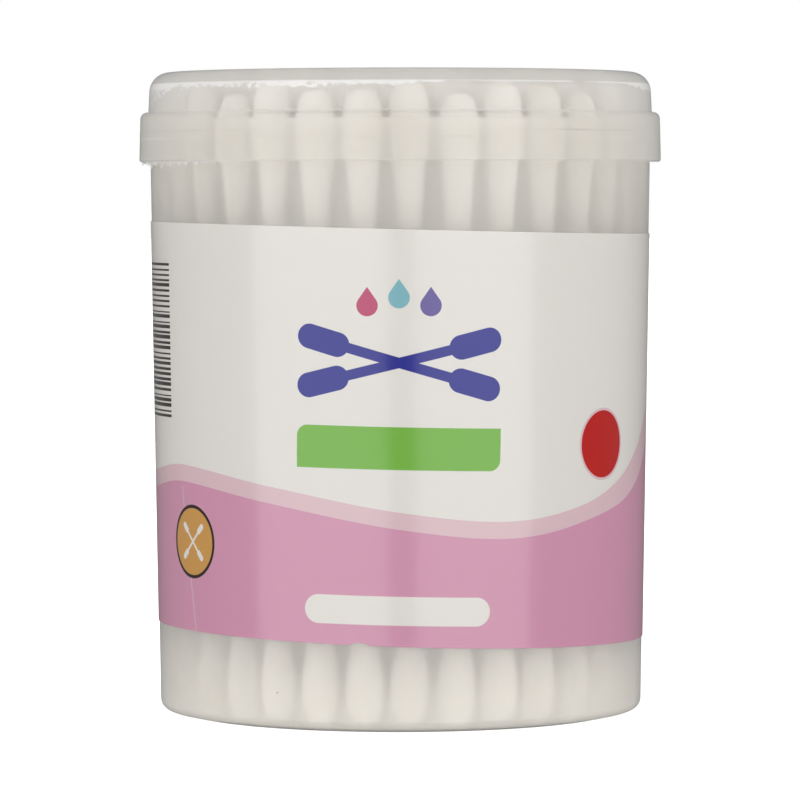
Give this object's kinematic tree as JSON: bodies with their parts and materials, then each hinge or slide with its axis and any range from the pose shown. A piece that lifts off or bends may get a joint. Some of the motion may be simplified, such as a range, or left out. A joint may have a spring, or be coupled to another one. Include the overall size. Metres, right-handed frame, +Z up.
{
  "type": "cotton swab tub",
  "caption": "Round frosted plastic tub with a lift-off domed lid and a printed wrap-round label, packed with upright cotton swabs.",
  "frame": {"origin": "centre of the foot, on the surface that the tub stands on", "axes": "+Z up through the lid, -Y towards the printed front, +X to the right seen from the front"},
  "size_m": [0.0636, 0.0636, 0.0779],
  "materials": {
    "tub_plastic": "frosted, moulded",
    "lid_plastic": "frosted, moulded",
    "label_film": "glossy laminated film",
    "stick_plastic": "extruded",
    "cotton": "wound cotton fibre",
    "ink_pink": "printed ink under gloss laminate",
    "ink_pale_pink": "printed ink under gloss laminate",
    "ink_green": "printed ink under gloss laminate",
    "ink_red": "printed ink under gloss laminate",
    "ink_white": "printed ink under gloss laminate",
    "ink_orange": "printed ink under gloss laminate",
    "ink_dark": "printed ink under gloss laminate",
    "ink_blue": "printed ink under gloss laminate",
    "ink_rose": "printed ink under gloss laminate",
    "ink_teal": "printed ink under gloss laminate",
    "ink_violet": "printed ink under gloss laminate"
  },
  "bodies": {
    "tub": {"tub": "tub_plastic", "label": "label_film", "print_pink": "ink_pink", "print_pale_pink": "ink_pale_pink", "print_green": "ink_green", "print_red": "ink_red", "print_white": "ink_white", "print_orange": "ink_orange", "print_dark": "ink_dark", "print_blue": "ink_blue", "print_rose": "ink_rose", "print_teal": "ink_teal", "print_violet": "ink_violet", "sticks_outer": "stick_plastic", "sticks_second": "stick_plastic", "sticks_inner": "stick_plastic", "upper_heads_outer": "cotton", "upper_heads_second": "cotton", "upper_heads_inner": "cotton", "lower_heads_outer": "cotton", "lower_heads_second": "cotton", "lower_heads_inner": "cotton"},
    "lid": {"lid": "lid_plastic"}
  },
  "joints": [
    {"name": "lid_lift", "type": "slide", "parent": "tub", "child": "lid", "axis": [0, 0, 1], "range_m": [0, 0.04]}
  ]
}
